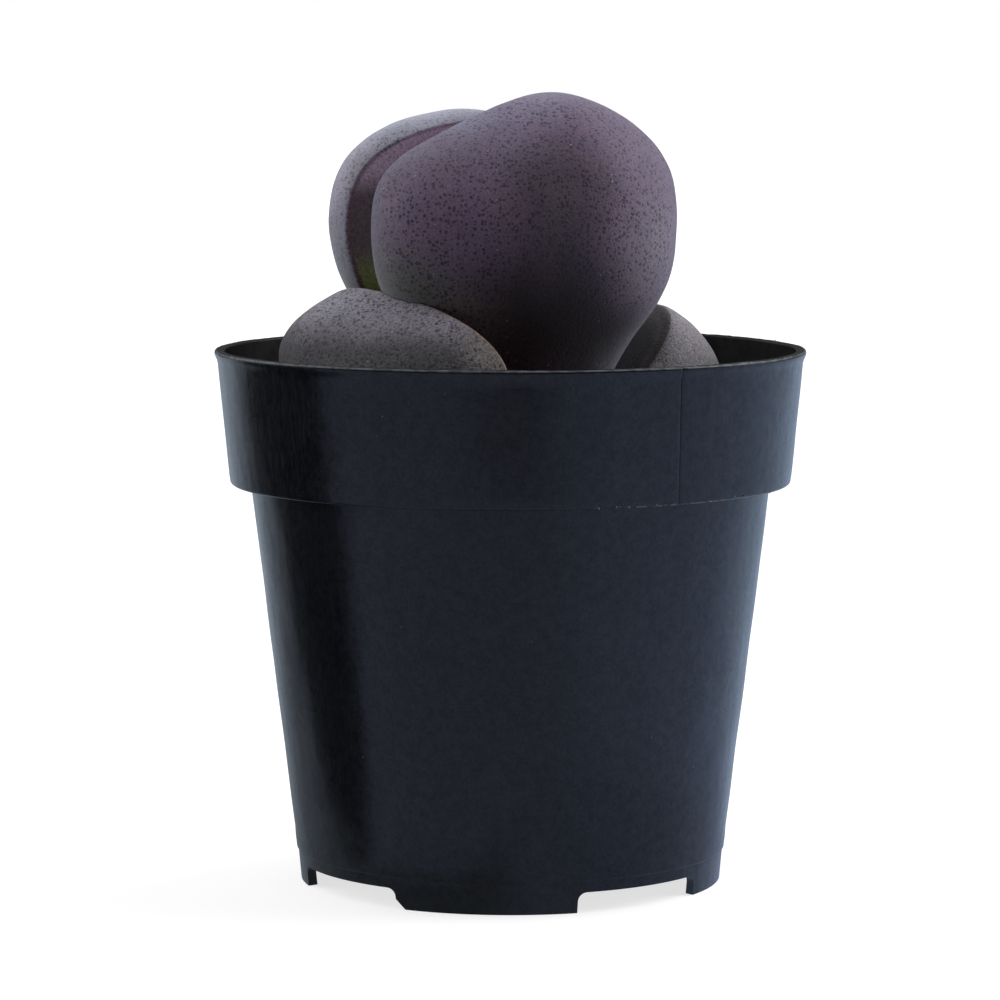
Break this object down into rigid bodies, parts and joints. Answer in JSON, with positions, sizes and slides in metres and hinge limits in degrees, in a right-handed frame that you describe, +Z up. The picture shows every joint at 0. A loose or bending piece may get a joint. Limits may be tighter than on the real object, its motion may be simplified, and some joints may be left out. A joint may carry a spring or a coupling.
{
  "type": "potted split rock plant",
  "caption": "Stone-like succulent with two crossed pairs of thick domed leaves split by a fissure, rooted in potting mix inside a round tapered nursery pot with a collar and notched foot.",
  "frame": {"origin": "on the pot's axis, at the level its foot ring stands on", "axes": "+Z up along the pot's axis, -Y towards the front leaf, +X to the right of someone looking at it"},
  "size_m": [0.065, 0.065, 0.0866],
  "materials": {
    "pot_plastic": "smooth moulded polypropylene, near black, slightly worn",
    "potting_mix": null,
    "stem_bark": "dry corky skin, green towards the leaves",
    "inner_leaf_front_skin": null,
    "inner_leaf_back_skin": "firm waxy skin, dull with a faint bloom, dotted; rubber stands in",
    "outer_leaf_left_skin": "older waxy skin, greyer and drier, dotted; rubber stands in",
    "outer_leaf_right_skin": "older waxy skin, olive-grey, dotted; rubber stands in"
  },
  "bodies": {
    "root": {"nursery_pot": "pot_plastic", "potting_mix": "potting_mix", "stem_and_taproot": "stem_bark", "inner_leaf_front": "inner_leaf_front_skin", "inner_leaf_back": "inner_leaf_back_skin", "outer_leaf_left": "outer_leaf_left_skin", "outer_leaf_right": "outer_leaf_right_skin"}
  },
  "joints": []
}
